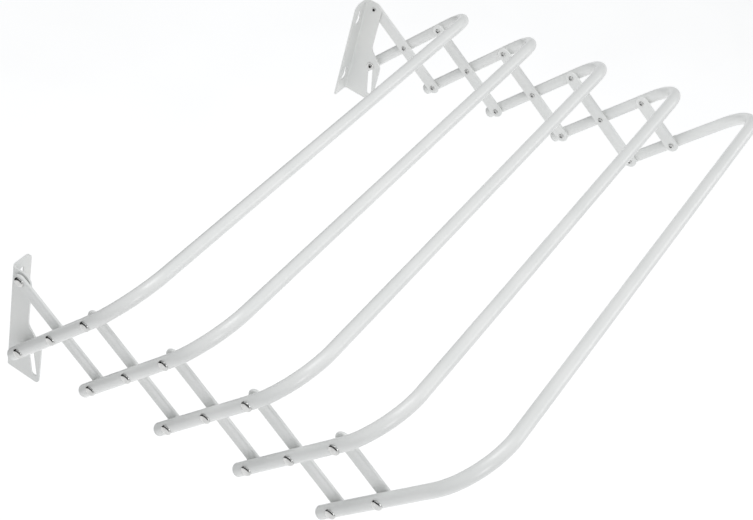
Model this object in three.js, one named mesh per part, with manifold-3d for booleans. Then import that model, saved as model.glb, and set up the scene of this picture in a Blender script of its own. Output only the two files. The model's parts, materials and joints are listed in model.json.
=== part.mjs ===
// Wall-mounted fold-down drying rack.
// Two L-shaped wall brackets carry a pair of scissor lattices. One leg family of
// the lattices is flat bars, the other is the arms of five U-shaped tubes, whose
// long bars are the drying rails.
//
// Units are millimetres. +X runs along the rails, the wall is the plane y = 0 with
// the rack on its -Y side, and +Z is up. The origin is on the wall, midway between
// the brackets and at half their height.

import * as THREE from 'three';
import { mergeVertices, toCreasedNormals } from 'three/addons/utils/BufferGeometryUtils.js';
import ManifoldModule from 'manifold-3d';

const wasm = await ManifoldModule();
wasm.setup();
const { Manifold, Mesh } = wasm;

// ---- lattice ---------------------------------------------------------------
const RAILS = 5; // U-shaped tubes
const HALF_LINK = 72; // pivot to pivot, half a lattice leg
const PIVOT_RISE = 96.8; // upper to lower pivot, unfolded
const SLOT_LEAN = THREE.MathUtils.degToRad(10.5); // pivot line from the vertical
const UPPER_PIVOT = { out: 16.5, up: 71.5 }; // from the wall, above the origin

// ---- layers across one side, measured from the middle of the rack ----------
const TUBE_X = 393; // tube arm centreline
const TUBE_R = 8;
const TUBE_WALL = 1.2;
const LAYER_GAP = 0.5;
const FLAT_T = 4.5;
const FLAT_W = 18.8;
const PLATE_T = 2.2;
const FLAT_OUTER_X = TUBE_X - TUBE_R - LAYER_GAP;
const FLAT_INNER_X = FLAT_OUTER_X - FLAT_T;
const PLATE_OUTER_X = FLAT_INNER_X - LAYER_GAP;
const PLATE_INNER_X = PLATE_OUTER_X - PLATE_T;

// ---- U-shaped tube ---------------------------------------------------------
const RAIL_REACH = 73.5; // top pivot to rail centreline, along the arm
const BEND_R = 66;
const BEND_STEPS = 7;
const TUBE_TAIL = 19.5; // bottom pivot to the cut end
const TUBE_SIDES = 14;
const TUBE_BORE_SIDES = 8;
const PLUG_LIP = 3.4;
const PLUG_STUB = 7;

// ---- bracket ---------------------------------------------------------------
const BRACKET_TOP = 83;
const BRACKET_BOTTOM = -83.5;
const FLANGE_W = 32;
const BEND_INNER_R = 3.5;
const EAR_OUT = 29; // front edge beside the upper pivot, from the wall
const WAIST_UP = 5;
const FOOT_OUT = 50.5; // front edge beside the slot, from the wall
const FOOT_UP = -19;
const SLOT_R = 4;
const SLOT_TRAVEL = 46.5;
const KEYHOLE_X = PLATE_OUTER_X - 16.5;
const KEYHOLE_SLOT_R = 3.4;
const KEYHOLE_HOLE_R = 6.2;
const KEYHOLE_RISE = 16;
const KEYHOLES_UP = [50, -54]; // centres of the wide holes

// ---- rivets ----------------------------------------------------------------
const SHANK_R = 2.7;
const HOLE_R = 3.1;
const HEAD_R = 6.5;
const HEAD_H = 2.5;
const TAIL_R = 3.5;
const TAIL_H = 1.3;
const TAIL_BORE_R = 1.9;
const SEAT_GAP = 0.3;
const SHOULDER_R = 5;
const WASHER_R = 6;
const WASHER_BORE_R = 3.1;
const WASHER_T = 0.8;
const RIVET_SIDES = 10;

const WHITE_PAINT = new THREE.MeshStandardMaterial({ color: 0xe9eae8, roughness: 0.35 });
const WHITE_PLASTIC = new THREE.MeshStandardMaterial({ color: 0xe4e5e3, roughness: 0.5 });
const STEEL = new THREE.MeshStandardMaterial({ color: 0xb9bbbd, metalness: 0.9, roughness: 0.25 });

// ---- lattice points in the side plane, as Vector2(y, z) ---------------------
const HALF_PITCH = Math.sqrt(HALF_LINK ** 2 - (PIVOT_RISE / 2) ** 2);
const UP_LINE = new THREE.Vector2(Math.sin(SLOT_LEAN), Math.cos(SLOT_LEAN));
const OUT_LINE = new THREE.Vector2(-Math.cos(SLOT_LEAN), Math.sin(SLOT_LEAN));

function latticePoint(halfPitches, halfRises) {
  return new THREE.Vector2(-UPPER_PIVOT.out, UPPER_PIVOT.up)
    .addScaledVector(OUT_LINE, HALF_PITCH * halfPitches)
    .addScaledVector(UP_LINE, -0.5 * PIVOT_RISE * halfRises);
}

const topPivot = (i) => latticePoint(2 * i, 0);
const middlePivot = (i) => latticePoint(2 * i - 1, 1);
const bottomPivot = (i) => latticePoint(2 * i, 2);
const ARM_DIR = topPivot(1).sub(bottomPivot(0)).normalize(); // tube arms, upwards
const FLAT_DIR = bottomPivot(1).sub(topPivot(0)).normalize(); // flat bars, downwards

// ---- solids ----------------------------------------------------------------
function volumeOf(points, triangles) {
  const [a, b, c] = [new THREE.Vector3(), new THREE.Vector3(), new THREE.Vector3()];
  let total = 0;
  for (const [i, j, k] of triangles) {
    a.fromArray(points[i]);
    b.fromArray(points[j]);
    c.fromArray(points[k]);
    total += a.dot(b.cross(c)) / 6;
  }
  return total;
}

// Triangles are turned to face outwards whichever way they were listed.
function solidFrom(points, triangles) {
  const facing = volumeOf(points, triangles) > 0;
  const outward = facing ? triangles : triangles.map(([i, j, k]) => [i, k, j]);
  const vertProperties = new Float32Array(points.flat());
  const triVerts = new Uint32Array(outward.flat());
  return new Manifold(new Mesh({ numProp: 3, vertProperties, triVerts }));
}

// Rings of points joined along a path and closed with a fan at each end.
function loft(rings) {
  const sides = rings[0].length;
  const triangles = [];
  for (let k = 0; k + 1 < rings.length; k += 1) {
    for (let j = 0; j < sides; j += 1) {
      const a = k * sides + j;
      const b = k * sides + ((j + 1) % sides);
      triangles.push([a, b, b + sides], [a, b + sides, a + sides]);
    }
  }
  const last = (rings.length - 1) * sides;
  for (let j = 1; j + 1 < sides; j += 1) {
    triangles.push([0, j + 1, j], [last, last + j, last + j + 1]);
  }
  return solidFrom(rings.flat(), triangles);
}

// A solid of revolution about a line parallel to X. The profile is a list of
// [x, radius]; the centre is (y, z).
function turned(profile, centre, sides = RIVET_SIDES) {
  return loft(
    profile.map(([x, radius]) =>
      Array.from({ length: sides }, (_, j) => {
        const a = (2 * Math.PI * (j + 0.5)) / sides;
        return [x, centre.x + radius * Math.cos(a), centre.y + radius * Math.sin(a)];
      }),
    ),
  );
}

const drill = (centre, radius, x0, x1) => turned([[x0, radius], [x1, radius]], centre);

// A closed outline pushed along one axis from lo to hi. Outline points are (y, z)
// for axis x, (x, z) for axis y and (x, y) for axis z.
function prism(axis, outline, lo, hi) {
  const place = {
    x: (u, v, t) => [t, u, v],
    y: (u, v, t) => [u, t, v],
    z: (u, v, t) => [u, v, t],
  }[axis];
  const options = { depth: hi - lo, bevelEnabled: false };
  const pushed = new THREE.ExtrudeGeometry(new THREE.Shape(outline), options);
  pushed.deleteAttribute('normal');
  pushed.deleteAttribute('uv');
  const merged = mergeVertices(pushed, 1e-4);
  const p = merged.attributes.position;
  const points = Array.from({ length: p.count }, (_, i) =>
    place(p.getX(i), p.getY(i), lo + p.getZ(i)),
  );
  const index = Array.from(merged.index.array);
  const triangles = Array.from({ length: index.length / 3 }, (_, i) =>
    index.slice(3 * i, 3 * i + 3),
  );
  return solidFrom(points, triangles);
}

// A polygon with rounded corners, from a list of [u, v, radius].
function rounded(corners) {
  const outline = [];
  corners.forEach(([u, v, radius], i) => {
    const corner = new THREE.Vector2(u, v);
    if (!radius) {
      outline.push(corner);
      return;
    }
    const [pu, pv] = corners[(i + corners.length - 1) % corners.length];
    const [nu, nv] = corners[(i + 1) % corners.length];
    const back = new THREE.Vector2(pu, pv).sub(corner).normalize();
    const ahead = new THREE.Vector2(nu, nv).sub(corner).normalize();
    const half = 0.5 * Math.acos(back.dot(ahead));
    const inward = back.clone().add(ahead).normalize();
    const centre = corner.clone().addScaledVector(inward, radius / Math.sin(half));
    const start = corner.clone().addScaledVector(back, radius / Math.tan(half)).sub(centre);
    const turn = (Math.PI - 2 * half) * -Math.sign(back.cross(ahead));
    const steps = Math.max(2, Math.round(Math.abs(turn) / 0.4));
    for (let k = 0; k <= steps; k += 1) {
      const at = start.clone().rotateAround(new THREE.Vector2(), (turn * k) / steps);
      outline.push(at.add(centre));
    }
  });
  return outline;
}

// The side view of two circles of radii r0 and r1 joined by straight sides of the
// narrower one: a plain slot when the radii are equal, else a keyhole.
function slotOutline(from, to, r0, r1, steps = 6) {
  const dir = to.clone().sub(from).normalize();
  const side = new THREE.Vector2(-dir.y, dir.x);
  const neck = Math.min(r0, r1);
  const points = [];
  for (const [centre, radius, sign] of [[from, r0, -1], [to, r1, 1]]) {
    const open = Math.asin(Math.min(1, neck / radius));
    const count = radius > neck ? 2 * steps - 2 : steps;
    for (let k = 0; k <= count; k += 1) {
      const a = open + ((2 * Math.PI - 2 * open) * k) / count;
      points.push(
        centre.clone()
          .addScaledVector(dir, -sign * radius * Math.cos(a))
          .addScaledVector(side, -radius * sign * Math.sin(a)),
      );
    }
  }
  return points;
}

// Parts are built for the +X side and mirrored for the other.
const onSide = (solid, side) => (side > 0 ? solid : solid.mirror([1, 0, 0]));

function toGeometry(solid) {
  const mesh = solid.getMesh();
  const geometry = new THREE.BufferGeometry();
  const positions = new THREE.BufferAttribute(new Float32Array(mesh.numVert * 3), 3);
  for (let i = 0; i < mesh.numVert; i += 1) {
    const at = mesh.numProp * i;
    positions.setXYZ(i, ...mesh.vertProperties.slice(at, at + 3));
  }
  geometry.setAttribute('position', positions);
  geometry.setIndex(Array.from(mesh.triVerts));
  return toCreasedNormals(geometry, 0.6);
}

// ---- U-shaped tube ---------------------------------------------------------
// Stations along the planar path: s runs up the arms from the bottom pivot, x runs
// across, and (tx, ts) is the direction of travel. lead lengthens both ends.
function railPath(lead) {
  const bendStart = 2 * HALF_LINK + RAIL_REACH - BEND_R;
  const left = [{ x: -TUBE_X, s: -TUBE_TAIL - lead, tx: 0, ts: 1 }];
  for (let k = 0; k <= BEND_STEPS; k += 1) {
    const a = (0.5 * Math.PI * k) / BEND_STEPS;
    left.push({
      x: -TUBE_X + BEND_R * (1 - Math.cos(a)),
      s: bendStart + BEND_R * Math.sin(a),
      tx: Math.sin(a),
      ts: Math.cos(a),
    });
  }
  const right = left.map(({ x, s, tx, ts }) => ({ x: -x, s, tx, ts: -ts })).reverse();
  return [...left, ...right];
}

function railSolid(foot, radius, sides, lead) {
  const across = new THREE.Vector2(-ARM_DIR.y, ARM_DIR.x); // normal of the U's plane
  return loft(
    railPath(lead).map(({ x, s, tx, ts }) =>
      Array.from({ length: sides }, (_, j) => {
        const a = (2 * Math.PI * (j + 0.5)) / sides;
        const inPlane = radius * Math.cos(a);
        const at = foot.clone()
          .addScaledVector(ARM_DIR, s - inPlane * tx)
          .addScaledVector(across, radius * Math.sin(a));
        return [x + inPlane * ts, at.x, at.y];
      }),
    ),
  );
}

function pivotsOnTube(i) {
  const pivots = [bottomPivot(i - 1), middlePivot(i)];
  return i < RAILS ? [...pivots, topPivot(i)] : pivots;
}

function railTube(i) {
  const foot = bottomPivot(i - 1);
  const bore = railSolid(foot, TUBE_R - TUBE_WALL, TUBE_BORE_SIDES, 1);
  let tube = railSolid(foot, TUBE_R, TUBE_SIDES, 0).subtract(bore);
  for (const pivot of pivotsOnTube(i)) {
    const hole = drill(pivot, HOLE_R, TUBE_X - TUBE_R - 2, TUBE_X + TUBE_R + 2);
    tube = tube.subtract(hole).subtract(onSide(hole, -1));
  }
  return tube;
}

// A rounded cap on the cut end of an arm, with a stub inside the bore.
function endPlug(i, side) {
  const face = -TUBE_TAIL - SEAT_GAP;
  const stubR = TUBE_R - TUBE_WALL - 0.9;
  const profile = [
    [PLUG_STUB - TUBE_TAIL, stubR],
    [face, stubR],
    [face, TUBE_R],
    [face - 0.6 * PLUG_LIP, TUBE_R * 0.95],
    [face - PLUG_LIP, TUBE_R * 0.7],
  ];
  const foot = bottomPivot(i - 1);
  const across = new THREE.Vector2(-ARM_DIR.y, ARM_DIR.x);
  const plug = loft(
    profile.map(([s, radius]) =>
      Array.from({ length: TUBE_SIDES }, (_, j) => {
        const a = (2 * Math.PI * (j + 0.5)) / TUBE_SIDES;
        const at = foot.clone()
          .addScaledVector(ARM_DIR, s)
          .addScaledVector(across, radius * Math.sin(a));
        return [TUBE_X + radius * Math.cos(a), at.x, at.y];
      }),
    ),
  );
  return onSide(plug, side);
}

// ---- flat bar --------------------------------------------------------------
// Round-ended bar with its long edges eased. The last bar stops at its middle pivot.
function flatBar(i, side) {
  const pivots = [topPivot(i - 1), middlePivot(i)];
  if (i < RAILS) {
    pivots.push(bottomPivot(i));
  }
  const ease = 1.2;
  const section = [
    [FLAT_INNER_X, 0.5 * FLAT_W - ease],
    [FLAT_INNER_X + ease, 0.5 * FLAT_W],
    [FLAT_OUTER_X - ease, 0.5 * FLAT_W],
    [FLAT_OUTER_X, 0.5 * FLAT_W - ease],
  ];
  let bar = loft(
    section.map(([x, radius]) =>
      slotOutline(pivots[0], pivots.at(-1), radius, radius, 7).map((p) => [x, p.x, p.y]),
    ),
  );
  for (const pivot of pivots) {
    bar = bar.subtract(drill(pivot, HOLE_R, FLAT_INNER_X - 1, FLAT_OUTER_X + 1));
  }
  return onSide(bar, side);
}

// ---- bracket ---------------------------------------------------------------
// Folded sheet: its L section in plan, trimmed by the plate's side view and by the
// flange's front view, then pierced.
function bracket(side) {
  const freeX = PLATE_OUTER_X - FLANGE_W;
  const outerR = BEND_INNER_R + PLATE_T;
  const section = rounded([
    [freeX - 1, 0, 0],
    [PLATE_OUTER_X, 0, outerR],
    [PLATE_OUTER_X, -FOOT_OUT - 1, 0],
    [PLATE_INNER_X, -FOOT_OUT - 1, 0],
    [PLATE_INNER_X, -PLATE_T, BEND_INNER_R],
    [freeX - 1, -PLATE_T, 0],
  ]);
  const plate = rounded([
    [1, BRACKET_BOTTOM, 0],
    [1, BRACKET_TOP, 0],
    [-EAR_OUT, BRACKET_TOP, 13],
    [-EAR_OUT, WAIST_UP, 14],
    [-FOOT_OUT, FOOT_UP, 8],
    [-FOOT_OUT, BRACKET_BOTTOM, 6],
  ]);
  const flange = rounded([
    [PLATE_OUTER_X + 1, BRACKET_BOTTOM, 0],
    [PLATE_OUTER_X + 1, BRACKET_TOP, 0],
    [freeX, BRACKET_TOP, 10],
    [freeX, BRACKET_BOTTOM, 4],
  ]);
  const slotEnd = bottomPivot(0).addScaledVector(UP_LINE, -SLOT_TRAVEL);
  const slot = slotOutline(bottomPivot(0), slotEnd, SLOT_R, SLOT_R);

  let solid = prism('z', section, BRACKET_BOTTOM - 1, BRACKET_TOP + 1)
    .intersect(prism('x', plate, freeX - 2, PLATE_OUTER_X + 2))
    .intersect(prism('y', flange, -FOOT_OUT - 2, 2))
    .subtract(prism('x', slot, PLATE_INNER_X - 1, PLATE_OUTER_X + 1))
    .subtract(drill(topPivot(0), HOLE_R, PLATE_INNER_X - 1, PLATE_OUTER_X + 1));
  for (const up of KEYHOLES_UP) {
    const hole = new THREE.Vector2(KEYHOLE_X, up);
    const top = new THREE.Vector2(KEYHOLE_X, up + KEYHOLE_RISE);
    const keyhole = slotOutline(hole, top, KEYHOLE_HOLE_R, KEYHOLE_SLOT_R);
    solid = solid.subtract(prism('y', keyhole, -PLATE_T - 1, 1));
  }
  return onSide(solid, side);
}

// ---- rivets and washers ----------------------------------------------------
// Domed head outside, hollow tail inside. headSeat and tailSeat are the faces the
// rivet holds together; a shoulder keeps the slot rivet's tube off the plate.
function rivet(pivot, side, headSeat, tailSeat, shoulder = null) {
  const head = headSeat + SEAT_GAP;
  const tail = tailSeat - SEAT_GAP;
  const profile = [
    [tail - TAIL_H + 2.5, TAIL_BORE_R],
    [tail - TAIL_H, TAIL_BORE_R],
    [tail - TAIL_H, TAIL_R - 0.4],
    [tail, TAIL_R],
    [tail, SHANK_R],
  ];
  if (shoulder) {
    profile.push([shoulder[0], SHANK_R], [shoulder[0], SHOULDER_R]);
    profile.push([shoulder[1], SHOULDER_R], [shoulder[1], SHANK_R]);
  }
  profile.push([head, SHANK_R], [head, HEAD_R]);
  profile.push([head + 0.45 * HEAD_H, 0.87 * HEAD_R], [head + HEAD_H, 0.4 * HEAD_R]);
  return onSide(turned(profile, pivot), side);
}

const linkRivet = (pivot, side) => rivet(pivot, side, TUBE_X + TUBE_R, FLAT_INNER_X);
const upperRivet = (side) => rivet(topPivot(0), side, FLAT_OUTER_X, PLATE_INNER_X);

function slotRivet(side) {
  const shoulder = [PLATE_OUTER_X + SEAT_GAP, TUBE_X - TUBE_R - SEAT_GAP];
  const tailSeat = PLATE_INNER_X - SEAT_GAP - WASHER_T;
  return rivet(bottomPivot(0), side, TUBE_X + TUBE_R, tailSeat, shoulder);
}

function slotWasher(side) {
  const outer = PLATE_INNER_X - SEAT_GAP;
  const inner = outer - WASHER_T;
  const ring = drill(bottomPivot(0), WASHER_R, inner, outer);
  return onSide(ring.subtract(drill(bottomPivot(0), WASHER_BORE_R, inner - 1, outer + 1)), side);
}

// ---- assembly --------------------------------------------------------------
const rack = new THREE.Group();
rack.name = 'fold_down_drying_rack';

function add(name, solid, material) {
  const mesh = new THREE.Mesh(toGeometry(solid), material);
  mesh.name = name;
  rack.add(mesh);
}

for (let i = 1; i <= RAILS; i += 1) {
  add(`tube_${i}`, railTube(i), WHITE_PAINT);
}

for (const [hand, side] of [['left', -1], ['right', 1]]) {
  add(`bracket_${hand}`, bracket(side), WHITE_PAINT);
  add(`rivet_upper_${hand}`, upperRivet(side), STEEL);
  add(`rivet_slot_${hand}`, slotRivet(side), STEEL);
  add(`washer_slot_${hand}`, slotWasher(side), STEEL);
  for (let i = 1; i <= RAILS; i += 1) {
    add(`flat_${i}_${hand}`, flatBar(i, side), WHITE_PAINT);
    add(`plug_${i}_${hand}`, endPlug(i, side), WHITE_PLASTIC);
    add(`rivet_middle_${i}_${hand}`, linkRivet(middlePivot(i), side), STEEL);
  }
  for (let i = 1; i < RAILS; i += 1) {
    add(`rivet_top_${i}_${hand}`, linkRivet(topPivot(i), side), STEEL);
    add(`rivet_bottom_${i}_${hand}`, linkRivet(bottomPivot(i), side), STEEL);
  }
}

export default rack;
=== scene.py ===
import json
import math

import bmesh
import bpy
from mathutils import Matrix, Vector


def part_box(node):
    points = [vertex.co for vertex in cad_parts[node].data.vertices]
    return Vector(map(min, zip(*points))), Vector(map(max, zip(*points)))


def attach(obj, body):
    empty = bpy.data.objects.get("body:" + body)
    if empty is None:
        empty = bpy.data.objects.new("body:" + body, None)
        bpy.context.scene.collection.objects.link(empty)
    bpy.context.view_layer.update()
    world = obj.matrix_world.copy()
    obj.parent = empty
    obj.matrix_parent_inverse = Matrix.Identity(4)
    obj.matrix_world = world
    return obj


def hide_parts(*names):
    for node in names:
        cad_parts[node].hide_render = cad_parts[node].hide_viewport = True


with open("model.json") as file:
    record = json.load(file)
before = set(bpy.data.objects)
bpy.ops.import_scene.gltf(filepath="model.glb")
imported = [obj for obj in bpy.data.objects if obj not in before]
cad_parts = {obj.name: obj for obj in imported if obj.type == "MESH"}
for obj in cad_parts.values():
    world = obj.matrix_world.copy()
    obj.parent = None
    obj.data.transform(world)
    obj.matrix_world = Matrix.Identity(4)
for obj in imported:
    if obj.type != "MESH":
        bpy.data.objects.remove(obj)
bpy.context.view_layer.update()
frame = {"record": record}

SCENE = bpy.context.scene

# ---- sizes in millimetres, as in the CAD model -------------------------------
MM = 0.001
RAILS = 5
SIDES = (("left", -1), ("right", 1))
TUBE_X = 393.0
TUBE_R = 8.0
TUBE_WALL = 1.2
TUBE_TAIL = 19.5
RAIL_REACH = 73.5
BEND_R = 66.0
CAP_LIP = 3.4
CAP_STUB = 7.0
FLAT_W = 18.8
FLAT_T = 4.5
LAYER_GAP = 0.5
FLAT_OUTER_X = TUBE_X - TUBE_R - LAYER_GAP
FLAT_INNER_X = FLAT_OUTER_X - FLAT_T
PLATE_T = 2.2
PLATE_OUTER_X = FLAT_INNER_X - LAYER_GAP
PLATE_INNER_X = PLATE_OUTER_X - PLATE_T
BRACKET_TOP = 83.0
BRACKET_BOTTOM = -83.5
FLANGE_W = 32.0
BEND_INNER_R = 3.5
EAR_OUT = 29.0
WAIST_UP = 5.0
FOOT_OUT = 50.5
FOOT_UP = -19.0
EAR_R = 13.0
WAIST_R = 14.0
FOOT_TOP_R = 8.0
FOOT_BOTTOM_R = 6.0
FLANGE_TOP_R = 10.0
FLANGE_BOTTOM_R = 4.0
RIVET_CLEARANCE = 0.4
SLOT_R = 4.0
SLOT_TRAVEL = 46.5
KEYHOLE_X = PLATE_OUTER_X - 16.5
KEYHOLE_SLOT_R = 3.4
KEYHOLE_HOLE_R = 6.2
KEYHOLE_RISE = 16.0
KEYHOLES_UP = (50.0, -54.0)
SHANK_R = 2.7
HEAD_R = 6.5
TAIL_R = 3.5
TAIL_H = 1.3
TAIL_BORE_R = 1.9
TAIL_BORE_DEPTH = 4.5
RIVET_SIDES = 40
BORE_RINGS = 5  # rings of a rivet that lie inside its hollow, drawn with painted shade
SHOULDER_R = 5.0
WASHER_R = 6.0
WASHER_BORE_R = 3.1
WASHER_T = 0.8

# ---- fine detail that only the visual pieces have ----------------------------
TUBE_SIDES = 48
BEND_STEPS = 28
SEAT_DEPTH = 0.8  # the tube is pressed flat under each rivet head
SEAT_FLAT = 4.0  # half length of the full depth
SEAT_FADE = 5.5
SEAT_CROWN = 0.1  # what is left of the round across a seat
SEAT_BULGE = 0.015  # how much wider the tube grows there
BEND_FLATTENING = 0.045
BEND_BULGE = 0.4  # share of the flattening that goes into width
FLAT_DISH = 0.8  # hollow along the middle of a flat bar's faces
PAD_REACH = 8.5  # the hollow fades out round each pivot
PAD_FADE = 9.0
PAD_FILL = 0.75  # how much of the hollow the pad fills
BAR_STEP = 2.4  # between sections along a flat bar
RIM_H = 0.55  # edge of a rivet head
DOME_H = 1.75
HEAD_DROP = 0.4  # how far a head's edge wraps down the tube
EDGE_BREAK = 0.35  # rounding of the brackets' cut edges
SHARP = math.radians(40)
WELD = 0.004  # points nearer than this are joined
CONTACT_GAP = 0.1  # left between pieces that bear on each other


# ---- pivots, read off the frame, as points of the side plane ------------------
def pivot(node):
    low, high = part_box(node)
    middle = (low + high) / (2 * MM)
    return Vector((0.0, middle.y, middle.z))


TOP = {0: pivot("rivet_upper_left")}
MIDDLE = {}
BOTTOM = {0: pivot("rivet_slot_left")}
for i in range(1, RAILS + 1):
    MIDDLE[i] = pivot(f"rivet_middle_{i}_left")
    if i < RAILS:
        TOP[i] = pivot(f"rivet_top_{i}_left")
        BOTTOM[i] = pivot(f"rivet_bottom_{i}_left")

ARM_DIR = (TOP[1] - BOTTOM[0]).normalized()
ARM_ACROSS = Vector((0.0, -ARM_DIR.z, ARM_DIR.y))
HALF_LINK = (MIDDLE[1] - BOTTOM[0]).length
SLOT_DIR = (BOTTOM[0] - TOP[0]).normalized()
X_AXIS = Vector((1.0, 0.0, 0.0))
BODY_OF = {
    node: body
    for body, nodes in frame["record"]["behaviour"]["bodies"].items()
    for node in nodes
}


def smooth_step(value):
    value = min(1.0, max(0.0, value))
    return value * value * (3 - 2 * value)


# ---- mesh helpers -------------------------------------------------------------
def lofted(rings, closed=False, capped=True):
    """Points and faces of a skin over rings of equal size."""
    count = len(rings[0])
    points = [p for ring in rings for p in ring]
    faces = []
    for k in range(len(rings) if closed else len(rings) - 1):
        here = k * count
        there = (k + 1) % len(rings) * count
        for j in range(count):
            after = (j + 1) % count
            faces.append((here + j, here + after, there + after, there + j))
    if capped and not closed:
        faces.append(tuple(range(count)))
        faces.append(tuple(range((len(rings) - 1) * count, len(rings) * count)))
    return points, faces


def new_piece(name, points, faces, weld=False):
    """A smooth-shaded mesh object, from points in millimetres."""
    mesh = bpy.data.meshes.new(name)
    mesh.from_pydata([tuple(MM * c for c in p) for p in points], [], faces)
    body = bmesh.new()
    body.from_mesh(mesh)
    if weld:
        bmesh.ops.remove_doubles(body, verts=body.verts, dist=WELD * MM)
    bmesh.ops.recalc_face_normals(body, faces=body.faces)
    body.to_mesh(mesh)
    body.free()
    mesh.polygons.foreach_set("use_smooth", [True] * len(mesh.polygons))
    mesh.set_sharp_from_angle(angle=SHARP)
    piece = bpy.data.objects.new(name, mesh)
    SCENE.collection.objects.link(piece)
    return piece


def stand_for(piece, node, material):
    """The piece takes the place of a CAD node, and moves with that node's body."""
    piece.data.materials.append(material)
    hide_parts(node)
    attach(piece, BODY_OF[node])


def turned(profile, centre, side, sides=RIVET_SIDES, saddle=None):
    """A solid of revolution about a line parallel to X, from [x, radius] points.
    saddle(k, w), if given, is how far point k moves in where it is w across the arm."""
    rings = []
    for k, (x, radius) in enumerate(profile):
        ring = []
        for j in range(sides):
            a = 2 * math.pi * j / sides
            drop = saddle(k, radius * math.sin(a)) if saddle else 0.0
            p = centre + radius * (math.cos(a) * ARM_DIR + math.sin(a) * ARM_ACROSS)
            ring.append(p + side * (x - drop) * X_AXIS)
        rings.append(ring)
    return lofted(rings)


# ---- materials ----------------------------------------------------------------
class Nodes:
    """Short spellings for building one material's node tree."""

    def __init__(self, name):
        self.material = bpy.data.materials.new(name)
        self.material.use_nodes = True
        self.tree = self.material.node_tree
        self.shader = self.tree.nodes["Principled BSDF"]
        self.place = self.tree.nodes.new("ShaderNodeTexCoord").outputs["Object"]

    def link(self, start, end):
        self.tree.links.new(start, end)

    def noise(self, scale, detail=2.0, roughness=0.5, stretch=None):
        node = self.tree.nodes.new("ShaderNodeTexNoise")
        node.inputs["Scale"].default_value = scale
        node.inputs["Detail"].default_value = detail
        node.inputs["Roughness"].default_value = roughness
        place = self.place
        if stretch:
            mapping = self.tree.nodes.new("ShaderNodeMapping")
            mapping.inputs["Scale"].default_value = stretch
            self.link(place, mapping.inputs["Vector"])
            place = mapping.outputs["Vector"]
        self.link(place, node.inputs["Vector"])
        return node.outputs["Fac"]

    def ramp(self, value, low, high, out_low, out_high):
        node = self.tree.nodes.new("ShaderNodeMapRange")
        node.inputs["From Min"].default_value = low
        node.inputs["From Max"].default_value = high
        node.inputs["To Min"].default_value = out_low
        node.inputs["To Max"].default_value = out_high
        self.link(value, node.inputs["Value"])
        return node.outputs["Result"]

    def mix(self, factor, first, second):
        node = self.tree.nodes.new("ShaderNodeMix")
        node.data_type = "RGBA"
        for socket, colour in ((node.inputs[6], first), (node.inputs[7], second)):
            if isinstance(colour, tuple):
                socket.default_value = (*colour, 1.0)
            else:
                self.link(colour, socket)
        self.link(factor, node.inputs[0])
        return node.outputs[2]

    def bump(self, height, strength, distance, under=None):
        node = self.tree.nodes.new("ShaderNodeBump")
        node.inputs["Strength"].default_value = strength
        node.inputs["Distance"].default_value = distance
        self.link(height, node.inputs["Height"])
        if under is not None:
            self.link(under, node.inputs["Normal"])
        return node.outputs["Normal"]


def powder_coat(name, clean, dull):
    """White powder coat: orange peel, faint clouding, and small rubbed marks."""
    n = Nodes(name)
    clouds = n.ramp(n.noise(14.0, detail=3.0), 0.35, 0.65, 0.0, 1.0)
    tint = n.mix(clouds, clean, dull)
    marks = n.ramp(n.noise(420.0, detail=4.0, roughness=0.7), 0.66, 0.74, 0.0, 0.5)
    n.link(n.mix(marks, tint, tuple(0.86 * c for c in dull)), n.shader.inputs["Base Color"])
    polish = n.ramp(n.noise(60.0, detail=3.0), 0.3, 0.7, 0.30, 0.42)
    n.link(polish, n.shader.inputs["Roughness"])
    ripple = n.bump(n.noise(700.0, detail=1.0), 0.12, 0.00025)
    grain = n.bump(n.noise(2600.0, detail=2.0), 0.06, 0.0001, under=ripple)
    n.link(grain, n.shader.inputs["Normal"])
    n.shader.inputs["Specular IOR Level"].default_value = 0.5
    n.shader.inputs["Coat Weight"].default_value = 0.25
    n.shader.inputs["Coat Roughness"].default_value = 0.16
    return n.material


def moulded_plastic(name, colour):
    """White moulded cap: a fine spark texture and a softer sheen than the paint."""
    n = Nodes(name)
    clouds = n.ramp(n.noise(90.0, detail=2.0), 0.3, 0.7, 0.0, 1.0)
    n.link(n.mix(clouds, colour, tuple(0.95 * c for c in colour)), n.shader.inputs["Base Color"])
    n.link(n.ramp(n.noise(300.0), 0.3, 0.7, 0.42, 0.55), n.shader.inputs["Roughness"])
    n.link(n.bump(n.noise(3200.0, detail=3.0), 0.15, 0.00012), n.shader.inputs["Normal"])
    return n.material


def plated_steel(name, bright, dim):
    """Nickel-plated steel: fine scratches, a slight cloudy tarnish."""
    n = Nodes(name)
    tarnish = n.ramp(n.noise(260.0, detail=4.0), 0.35, 0.75, 0.0, 1.0)
    n.link(n.mix(tarnish, bright, dim), n.shader.inputs["Base Color"])
    n.link(n.ramp(n.noise(900.0, detail=3.0), 0.3, 0.7, 0.12, 0.26), n.shader.inputs["Roughness"])
    scratches = n.noise(500.0, detail=3.0, stretch=(1.0, 9.0, 1.0))
    n.link(n.bump(scratches, 0.10, 0.00012), n.shader.inputs["Normal"])
    n.shader.inputs["Metallic"].default_value = 1.0
    return n.material


PAINT = powder_coat("white_powder_coat", (0.80, 0.805, 0.795), (0.765, 0.775, 0.765))
# The brackets get a slightly darker copy of the same white powder coat, as painted shade.
SHADED_BRACKET_PAINT = powder_coat("bracket_powder_coat_painted_shade", (0.78, 0.785, 0.77), (0.745, 0.755, 0.745))
PLASTIC = moulded_plastic("white_cap_plastic", (0.78, 0.785, 0.78))
STEEL = plated_steel("nickel_plate", (0.70, 0.70, 0.69), (0.56, 0.56, 0.55))
# Near-black steel for the inside of each rivet tail's hollow: painted shade in the recess.
BORE_PAINTED_SHADE = plated_steel("rivet_bore_painted_shade", (0.07, 0.07, 0.068), (0.04, 0.04, 0.038))


# ---- U-shaped tubes -----------------------------------------------------------
BEND_START = 2 * HALF_LINK + RAIL_REACH - BEND_R  # along the arm, from its bottom pivot
BORE_R = TUBE_R - TUBE_WALL


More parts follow.
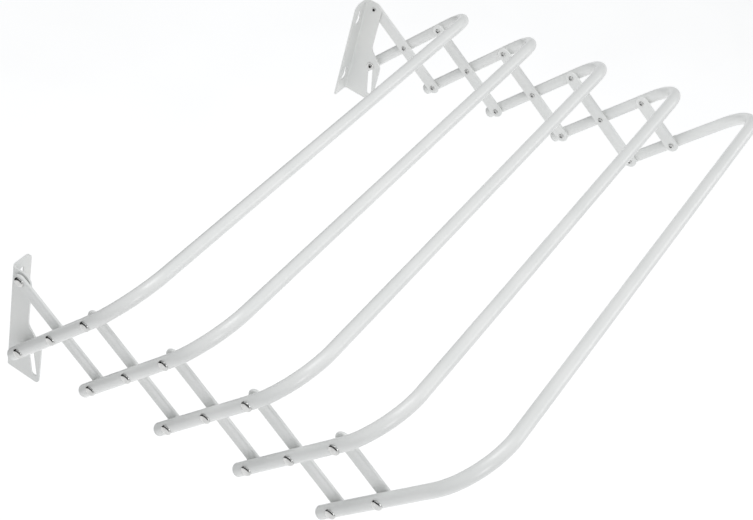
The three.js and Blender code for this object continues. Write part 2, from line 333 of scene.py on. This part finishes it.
def arm_stations():
    """Distances up an arm from its bottom pivot, close together round the pivots."""
    coarse_step = 9
    fine_step = 1.25
    fine_count = 8  # on each side of a pivot
    least_step = 0.4
    stations = {-TUBE_TAIL + 0.001}
    stations.update(range(-10, int(BEND_START), coarse_step))
    for k in range(3):
        for step in range(-fine_count, fine_count + 1):
            stations.add(k * HALF_LINK + fine_step * step)
    kept = []
    for s in sorted(stations):
        in_reach = -TUBE_TAIL <= s < BEND_START - 0.6
        if in_reach and (not kept or s - kept[-1] > least_step):
            kept.append(s)
    return kept


def tube_path():
    """(x, s, tx, ts, bend) along the U: s is up the arms, bend is 0 to 1 through a bend."""
    left = [(-TUBE_X, s, 0.0, 1.0, 0.0) for s in arm_stations()]
    for k in range(BEND_STEPS + 1):
        a = 0.5 * math.pi * k / BEND_STEPS
        x = -TUBE_X + BEND_R * (1 - math.cos(a))
        s = BEND_START + BEND_R * math.sin(a)
        left.append((x, s, math.sin(a), math.cos(a), k / BEND_STEPS))
    rail_half = TUBE_X - BEND_R
    rail_steps = 13
    for k in range(1, rail_steps):
        left.append((-rail_half * (1 - k / rail_steps), BEND_START + BEND_R, 1.0, 0.0, 0.0))
    middle = [(0.0, BEND_START + BEND_R, 1.0, 0.0, 0.0)]
    right = [(-x, s, tx, -ts, bend) for x, s, tx, ts, bend in reversed(left)]
    return left + middle + right


def seat_share(s, seats):
    """1 where the tube is pressed flat under a rivet head, fading to 0."""
    return max(1 - smooth_step((abs(s - seat) - SEAT_FLAT) / SEAT_FADE) for seat in seats)


def tube_ring(foot, station, radius, seats):
    x, s, tx, ts, bend = station
    squeeze = BEND_FLATTENING * math.sin(math.pi * bend)
    seat = seat_share(s, seats) if abs(ts) == 1.0 else 0.0
    limit = TUBE_R - SEAT_DEPTH * seat - (TUBE_R - radius)
    ring = []
    for j in range(TUBE_SIDES):
        a = 2 * math.pi * j / TUBE_SIDES
        in_plane = radius * math.cos(a) * (1 - squeeze)
        normal = radius * math.sin(a) * (1 + BEND_BULGE * squeeze + SEAT_BULGE * seat)
        if in_plane < -limit:
            in_plane = -limit + SEAT_CROWN * (in_plane + limit)
        p = foot + (s - in_plane * tx) * ARM_DIR + normal * ARM_ACROSS
        ring.append(p + (x + in_plane * ts) * X_AXIS)
    return ring


def make_tube(i):
    """Bent tube, open at both ends, with a broken edge at each cut."""
    foot = BOTTOM[i - 1]
    seats = [0.0, HALF_LINK] + ([2 * HALF_LINK] if i < RAILS else [])
    path = tube_path()
    outer = [tube_ring(foot, station, TUBE_R, seats) for station in path]
    bore = [tube_ring(foot, station, BORE_R, seats) for station in path]
    break_edge = 0.15
    for rings, end_radius in ((outer, TUBE_R - break_edge), (bore, BORE_R + break_edge)):
        for end in (0, -1):
            rings[end] = tube_ring(foot, path[end], end_radius, seats)
    points, faces = lofted(outer + bore[::-1], closed=True)
    piece = new_piece(f"bent_tube_{i}", points, faces)
    stand_for(piece, f"tube_{i}", PAINT)


def make_cap(i, hand, side):
    """Round-nosed cap pressed into the cut end of an arm."""
    face = -TUBE_TAIL - CONTACT_GAP
    ease = 0.15
    chamfer = 0.6
    crown_height = 0.45
    stub = BORE_R - ease
    stub_end = CAP_STUB - TUBE_TAIL
    profile = [(stub_end, stub - chamfer), (stub_end - chamfer, stub)]
    profile += [(face, stub), (face, TUBE_R - ease), (face - ease, TUBE_R)]
    shoulder = CAP_LIP - 0.6
    for k in range(1, 10):
        a = 0.5 * math.pi * k / 10
        edge = TUBE_R - shoulder * (1 - math.cos(a))
        profile.append((face - ease - shoulder * math.sin(a), edge))
    for k in range(1, 6):
        crown = crown_height * math.sin(0.5 * math.pi * k / 6)
        profile.append((face - ease - shoulder - crown, (TUBE_R - shoulder) * (1 - k / 6)))
    profile.append((face - CAP_LIP, 0.05))
    rings = []
    for s, radius in profile:
        ring = []
        for j in range(TUBE_SIDES):
            a = 2 * math.pi * j / TUBE_SIDES
            p = BOTTOM[i - 1] + s * ARM_DIR + radius * math.sin(a) * ARM_ACROSS
            ring.append(p + (side * TUBE_X + radius * math.cos(a)) * X_AXIS)
        rings.append(ring)
    piece = new_piece(f"end_cap_{i}_{hand}", *lofted(rings))
    stand_for(piece, f"plug_{i}_{hand}", PLASTIC)


# ---- flat bars ----------------------------------------------------------------
def flat_half_thickness(inset, along, pivots):
    """Half thickness at a distance in from the outline: a round edge, then a hollow."""
    edge = 0.5 * FLAT_T
    if inset < edge:
        return math.sqrt(edge**2 - (edge - inset) ** 2)
    pad = max(1 - smooth_step((abs(along - p) - PAD_REACH) / PAD_FADE) for p in pivots)
    hollow = smooth_step((inset - edge) / (0.5 * FLAT_W - edge))
    return edge - FLAT_DISH * hollow * (1 - PAD_FILL * pad)


def make_flat(i, hand, side):
    """Flattened bar with round ends, hollow faces and rounded long edges."""
    start = TOP[i - 1]
    end = BOTTOM[i] if i < RAILS else MIDDLE[i]
    length = (end - start).length
    along_dir = (end - start).normalized()
    across = Vector((0.0, -along_dir.z, along_dir.y))
    pivots = [k * HALF_LINK for k in range(round(length / HALF_LINK) + 1)]
    steps = round(length / BAR_STEP)
    arc = 14
    half = 0.5 * FLAT_W
    insets = [0.0, 0.08, 0.3, 0.65, 1.1, 1.65, 2.25, 3.0, 3.9, 4.8, 5.8, 6.9, 8.1, half]
    middle_x = 0.5 * (FLAT_OUTER_X + FLAT_INNER_X)

    def ring(inset, face):
        radius = half - inset
        outline = [(length * k / steps, radius) for k in range(steps + 1)]
        for k in range(1, arc):
            a = math.pi * k / arc
            outline.append((length + radius * math.sin(a), radius * math.cos(a)))
        outline += [(length * (1 - k / steps), -radius) for k in range(steps + 1)]
        for k in range(1, arc):
            a = math.pi * k / arc
            outline.append((-radius * math.sin(a), -radius * math.cos(a)))
        points = []
        for v, w in outline:
            x = middle_x + face * flat_half_thickness(inset, v, pivots)
            points.append(start + v * along_dir + w * across + side * x * X_AXIS)
        return points

    rings = [ring(inset, 1) for inset in reversed(insets)]
    rings += [ring(inset, -1) for inset in insets[1:]]
    piece = new_piece(f"flat_bar_{i}_{hand}", *lofted(rings, capped=False), weld=True)
    stand_for(piece, f"flat_{i}_{hand}", PAINT)


# ---- brackets -----------------------------------------------------------------
OUTER_R = BEND_INNER_R + PLATE_T
NEUTRAL_R = BEND_INNER_R + 0.5 * PLATE_T
BEND_LENGTH = 0.5 * math.pi * NEUTRAL_R
FOLD_STEPS = 14


def flange_u(x):
    """Place on the flat pattern of a point of the flange, from its x."""
    return x - (PLATE_OUTER_X - OUTER_R)


def plate_u(out):
    """Place on the flat pattern of a point of the plate, from its distance out."""
    return BEND_LENGTH + out - OUTER_R


def rounded(corners):
    """A polygon with rounded corners, from (u, v, radius)."""
    outline = []
    for k, (u, v, radius) in enumerate(corners):
        corner = Vector((u, v))
        back = (Vector(corners[k - 1][:2]) - corner).normalized()
        ahead = (Vector(corners[(k + 1) % len(corners)][:2]) - corner).normalized()
        half = 0.5 * math.acos(back.dot(ahead))
        centre = corner + (back + ahead).normalized() * radius / math.sin(half)
        first = corner + back * radius / math.tan(half) - centre
        last = corner + ahead * radius / math.tan(half) - centre
        turn = first.angle_signed(last)
        steps = max(3, round(abs(turn) / 0.16))
        for step in range(steps + 1):
            a = -turn * step / steps
            spin = Matrix.Rotation(a, 2)
            outline.append(centre + spin @ first)
    return outline


def slot_outline(start, end, r0, r1, steps=16):
    """Two circles joined by straight sides of the narrower one."""
    along = (end - start).normalized()
    across = Vector((-along.y, along.x))
    neck = min(r0, r1)
    points = []
    for centre, radius, sign in ((start, r0, -1), (end, r1, 1)):
        opening = math.asin(min(1.0, neck / radius))
        for k in range(steps + 1):
            a = opening + (2 * math.pi - 2 * opening) * k / steps
            lengthwise = -sign * radius * math.cos(a)
            sideways = -sign * radius * math.sin(a)
            points.append(centre + lengthwise * along + sideways * across)
    return points


def bent(u, z, t, side):
    """A point of the flat pattern, t from the sheet's middle, on the folded bracket."""
    angle = min(max(u / NEUTRAL_R, 0.0), 0.5 * math.pi)
    radius = NEUTRAL_R + t
    x = PLATE_OUTER_X - OUTER_R + min(u, 0.0) + radius * math.sin(angle)
    y = -OUTER_R - max(u - BEND_LENGTH, 0.0) + radius * math.cos(angle)
    return (side * x, y, z)


def flat_pattern():
    """Outline and holes of the unfolded sheet, as lists of (u, z)."""
    free_edge = flange_u(PLATE_OUTER_X - FLANGE_W)
    outline = rounded([
        (free_edge, BRACKET_TOP, FLANGE_TOP_R),
        (free_edge, BRACKET_BOTTOM, FLANGE_BOTTOM_R),
        (plate_u(FOOT_OUT), BRACKET_BOTTOM, FOOT_BOTTOM_R),
        (plate_u(FOOT_OUT), FOOT_UP, FOOT_TOP_R),
        (plate_u(EAR_OUT), WAIST_UP, WAIST_R),
        (plate_u(EAR_OUT), BRACKET_TOP, EAR_R),
    ])
    slot_top = Vector((plate_u(-BOTTOM[0].y), BOTTOM[0].z))
    slot_end = BOTTOM[0] + SLOT_TRAVEL * SLOT_DIR
    slot_foot = Vector((plate_u(-slot_end.y), slot_end.z))
    upper = Vector((plate_u(-TOP[0].y), TOP[0].z))
    loops = [outline, slot_outline(slot_top, slot_foot, SLOT_R, SLOT_R)]
    loops.append([
        upper + (SHANK_R + RIVET_CLEARANCE) * Vector((math.cos(a), math.sin(a)))
        for a in (2 * math.pi * k / 28 for k in range(28))
    ])
    for up in KEYHOLES_UP:
        wide = Vector((flange_u(KEYHOLE_X), up))
        narrow = wide + Vector((0.0, KEYHOLE_RISE))
        loops.append(slot_outline(wide, narrow, KEYHOLE_HOLE_R, KEYHOLE_SLOT_R))
    return loops


def make_bracket(hand, side):
    """Pressed sheet: a flat pattern cut out with its holes, then folded."""
    curve = bpy.data.curves.new("flat_pattern", "CURVE")
    curve.dimensions = "2D"
    curve.fill_mode = "BOTH"
    curve.extrude = 0.5 * PLATE_T
    for loop in flat_pattern():
        spline = curve.splines.new("POLY")
        spline.points.add(len(loop) - 1)
        for point, (u, z) in zip(spline.points, loop):
            point.co = (u, z, 0.0, 1.0)
        spline.use_cyclic_u = True
    pattern = bpy.data.objects.new("flat_pattern", curve)
    SCENE.collection.objects.link(pattern)
    mesh = bpy.data.meshes.new_from_object(pattern)
    bpy.data.objects.remove(pattern)

    sheet = bmesh.new()
    sheet.from_mesh(mesh)
    bmesh.ops.remove_doubles(sheet, verts=sheet.verts, dist=0.5 * WELD)
    bmesh.ops.dissolve_limit(
        sheet, angle_limit=math.radians(0.5), verts=sheet.verts, edges=sheet.edges
    )
    for k in range(FOLD_STEPS + 1):
        parts = sheet.verts[:] + sheet.edges[:] + sheet.faces[:]
        place = (BEND_LENGTH * k / FOLD_STEPS, 0.0, 0.0)
        bmesh.ops.bisect_plane(sheet, geom=parts, plane_co=place, plane_no=(1.0, 0.0, 0.0))
    for vertex in sheet.verts:
        u, z, t = vertex.co
        vertex.co = Vector(bent(u, z, t, side)) * MM
    bmesh.ops.recalc_face_normals(sheet, faces=sheet.faces)
    sheet.to_mesh(mesh)
    sheet.free()

    mesh.polygons.foreach_set("use_smooth", [True] * len(mesh.polygons))
    mesh.materials.clear()
    mesh.name = f"wall_bracket_{hand}"
    piece = bpy.data.objects.new(f"wall_bracket_{hand}", mesh)
    SCENE.collection.objects.link(piece)
    edges = piece.modifiers.new("edge_break", "BEVEL")
    edges.width = EDGE_BREAK * MM
    edges.segments = 3
    edges.limit_method = "ANGLE"
    edges.angle_limit = SHARP
    piece.modifiers.new("even_shading", "WEIGHTED_NORMAL").keep_sharp = True
    # The darker copy of the white paint is painted shade on the brackets.
    stand_for(piece, f"bracket_{hand}", SHADED_BRACKET_PAINT)


# ---- rivets and washers -------------------------------------------------------
def rivet_profile(head_seat, tail_seat, shoulder=None):
    """[x, radius] from the tail's hollow to the head's crown, and the edge's place."""
    end = tail_seat - TAIL_H
    profile = [
        (end + TAIL_BORE_DEPTH + 0.4, 0.4),
        (end + TAIL_BORE_DEPTH, TAIL_BORE_R - 0.3),
        (end + TAIL_BORE_DEPTH - 0.5, TAIL_BORE_R),
        (end + 0.55, TAIL_BORE_R),
        (end + 0.2, TAIL_BORE_R + 0.12),
        (end, TAIL_BORE_R + 0.5),
        (end, TAIL_R - 0.9),
        (end + 0.12, TAIL_R - 0.4),
        (end + 0.42, TAIL_R - 0.08),
        (end + 0.8, TAIL_R),
        (tail_seat - 0.12, TAIL_R - 0.1),
        (tail_seat, TAIL_R - 0.35),
        (tail_seat, SHANK_R),
    ]
    if shoulder:
        near, far = shoulder
        profile += [(near, SHANK_R), (near, SHOULDER_R - 0.3), (near + 0.3, SHOULDER_R)]
        profile += [(far - 0.3, SHOULDER_R), (far, SHOULDER_R - 0.3), (far, SHANK_R)]
    profile.append((head_seat, SHANK_R))
    first_edge = len(profile)
    profile += [(head_seat, HEAD_R - 0.2), (head_seat + 0.12, HEAD_R)]
    last_edge = len(profile)
    profile += [(head_seat + RIM_H - 0.15, HEAD_R), (head_seat + RIM_H, HEAD_R - 0.16)]
    crown = 12
    for k in range(1, crown):
        a = 0.5 * math.pi * k / crown
        radius = (HEAD_R - 0.16) * math.cos(a)
        profile.append((head_seat + RIM_H + DOME_H * (1 - (1 - math.sin(a)) ** 1.15), radius))
    profile.append((head_seat + RIM_H + DOME_H, 0.05))
    return profile, range(first_edge, last_edge)


def make_rivet(node, hand, side, centre, head_seat, tail_seat, on_tube, shoulder=None):
    profile, edge = rivet_profile(head_seat, tail_seat, shoulder)

    def wrap(k, sideways):
        """The head's lower edge follows the tube as it falls away at each side."""
        if k not in edge:
            return 0.0
        fall = TUBE_R - SEAT_DEPTH - math.sqrt(max(0.0, TUBE_R**2 - sideways**2))
        return min(HEAD_DROP, max(0.0, fall))

    points, faces = turned(profile, centre, side, saddle=wrap if on_tube else None)
    piece = new_piece(f"dome_{node}_{hand}", points, faces)
    stand_for(piece, f"{node}_{hand}", STEEL)
    # Faces of the tail's hollow take the near-black material, which is painted shade inside the
    # recess.
    piece.data.materials.append(BORE_PAINTED_SHADE)
    for face in piece.data.polygons:
        face.material_index = 1 if max(face.vertices) < BORE_RINGS * RIVET_SIDES else 0


def make_washer(hand, side):
    """Thin washer behind the slot, with rounded rims."""
    outer = PLATE_INNER_X - CONTACT_GAP
    inner = outer - WASHER_T
    ease = 0.2
    section = [
        (outer, WASHER_BORE_R + ease), (outer, WASHER_R - ease), (outer - ease, WASHER_R),
        (inner + ease, WASHER_R), (inner, WASHER_R - ease), (inner, WASHER_BORE_R + ease),
        (inner + ease, WASHER_BORE_R), (outer - ease, WASHER_BORE_R),
    ]
    rings = []
    for x, radius in section:
        turns = (2 * math.pi * j / 48 for j in range(48))
        rings.append([
            BOTTOM[0] + radius * Vector((0.0, math.cos(a), math.sin(a))) + side * x * X_AXIS
            for a in turns
        ])
    piece = new_piece(f"slot_washer_{hand}", *lofted(rings, closed=True))
    stand_for(piece, f"washer_slot_{hand}", STEEL)


# ---- the rack -----------------------------------------------------------------
HEAD_GAP = 0.05
SHOULDER_GAP = 0.2
WASHER_INNER_X = PLATE_INNER_X - CONTACT_GAP - WASHER_T
TUBE_SEAT = TUBE_X + TUBE_R - SEAT_DEPTH + HEAD_GAP
for i in range(1, RAILS + 1):
    make_tube(i)
for hand, side in SIDES:
    make_bracket(hand, side)
    make_rivet(
        "rivet_upper", hand, side, TOP[0],
        head_seat=FLAT_OUTER_X - CONTACT_GAP, tail_seat=PLATE_INNER_X - HEAD_GAP, on_tube=False,
    )
    make_rivet(
        "rivet_slot", hand, side, BOTTOM[0],
        head_seat=TUBE_SEAT, tail_seat=WASHER_INNER_X - HEAD_GAP, on_tube=True,
        shoulder=(PLATE_OUTER_X + SHOULDER_GAP, TUBE_X - TUBE_R - CONTACT_GAP),
    )
    make_washer(hand, side)
    for i in range(1, RAILS + 1):
        make_flat(i, hand, side)
        make_cap(i, hand, side)
        links = [(f"rivet_middle_{i}", MIDDLE[i])]
        if i < RAILS:
            links += [(f"rivet_top_{i}", TOP[i]), (f"rivet_bottom_{i}", BOTTOM[i])]
        for node, centre in links:
            make_rivet(
                node, hand, side, centre,
                head_seat=TUBE_SEAT, tail_seat=FLAT_INNER_X + CONTACT_GAP, on_tube=True,
            )

# ---- studio -------------------------------------------------------------------
FLOOR_DROP = 1.3  # metres from the origin down to the floor
CAMERA_AT = Vector((-1.2640, -0.7351, 1.2826))
CAMERA_AZIMUTH = math.radians(-69.94)  # 0 looks along +Y, 90 along -X
CAMERA_ELEVATION = math.radians(43.47)
CAMERA_ROLL = math.radians(17.13)
CAMERA_LENS = 69.153
SENSOR = 36.0


def make_camera():
    data = bpy.data.cameras.new("photo_camera")
    data.lens = CAMERA_LENS
    data.sensor_width = SENSOR
    data.clip_end = 60.0
    camera = bpy.data.objects.new("photo_camera", data)
    SCENE.collection.objects.link(camera)
    turn = Matrix.Rotation(CAMERA_AZIMUTH, 4, "Z")
    tilt = Matrix.Rotation(0.5 * math.pi - CAMERA_ELEVATION, 4, "X")
    roll = Matrix.Rotation(CAMERA_ROLL, 4, "Z")
    camera.matrix_world = Matrix.Translation(CAMERA_AT) @ turn @ tilt @ roll
    SCENE.camera = camera


def make_floor():
    size = 14.0
    corners = [(-size, -size), (size, -size), (size, size), (-size, size)]
    mesh = bpy.data.meshes.new("studio_floor")
    mesh.from_pydata([(x, y, -FLOOR_DROP) for x, y in corners], [], [(0, 1, 2, 3)])
    floor = bpy.data.objects.new("studio_floor", mesh)
    SCENE.collection.objects.link(floor)
    n = Nodes("pale_floor")
    tone = n.ramp(n.noise(3.0), 0.3, 0.7, 0.0, 1.0)
    n.link(n.mix(tone, (0.93, 0.93, 0.93), (0.90, 0.90, 0.90)), n.shader.inputs["Base Color"])
    n.shader.inputs["Roughness"].default_value = 0.8
    n.shader.inputs["Specular IOR Level"].default_value = 0.1
    n.shader.inputs["Emission Color"].default_value = (1.0, 1.0, 1.0, 1.0)
    n.shader.inputs["Emission Strength"].default_value = 0.46
    mesh.materials.append(n.material)


CARD_CORNER = Vector((-3.0, 1.3, 0.0))
CARD_LOW = -1.25
CARD_HIGH = 0.5


def make_dark_card(name, start, end):
    """A standing black card out of shot, which only the gloss on the rack can see."""
    mesh = bpy.data.meshes.new(name)
    corners = [(p.x, p.y, CARD_LOW) for p in (start, end)]
    corners += [(p.x, p.y, CARD_HIGH) for p in (end, start)]
    mesh.from_pydata(corners, [], [(0, 1, 2, 3)])
    card = bpy.data.objects.new(name, mesh)
    SCENE.collection.objects.link(card)
    n = Nodes(name + "_black")
    n.shader.inputs["Base Color"].default_value = (0.01, 0.01, 0.01, 1.0)
    n.shader.inputs["Specular IOR Level"].default_value = 0.0
    mesh.materials.append(n.material)
    card.visible_camera = False
    card.visible_diffuse = False
    card.visible_shadow = False


def make_light(name, place, target, width, height, watts):
    data = bpy.data.lights.new(name, "AREA")
    data.shape = "RECTANGLE"
    data.size = width
    data.size_y = height
    data.energy = watts
    light = bpy.data.objects.new(name, data)
    SCENE.collection.objects.link(light)
    light.location = place
    light.visible_camera = False
    aim = Vector(target) - Vector(place)
    light.rotation_euler = aim.to_track_quat("-Z", "Y").to_euler()


def make_world():
    world = bpy.data.worlds.new("studio")
    world.use_nodes = True
    background = world.node_tree.nodes["Background"]
    background.inputs["Color"].default_value = (0.97, 0.985, 1.0, 1.0)
    background.inputs["Strength"].default_value = 0.47
    SCENE.world = world


make_camera()
make_floor()
make_world()
make_dark_card("upright_card", CARD_CORNER, Vector((1.8, CARD_CORNER.y, 0.0)))
make_dark_card("left_card", CARD_CORNER, Vector((CARD_CORNER.x, -1.5, 0.0)))
make_light("key_softbox", (2.0, -2.45, 1.0), (0.1, -0.35, 0.1), 2.0, 1.2, 16.0)
make_light("top_softbox", (0.3, 0.3, 2.7), (0.0, -0.3, 0.1), 1.6, 0.7, 6.0)
make_light("front_softbox", (-1.54, -1.97, 0.9), (0.0, -0.3, 0.1), 0.7, 0.7, 7.5)
make_light("inner_fill", (-0.3, -0.2, 1.5), (0.35, -0.25, 0.1), 0.8, 0.8, 7.5)
SCENE.view_settings.view_transform = "Standard"
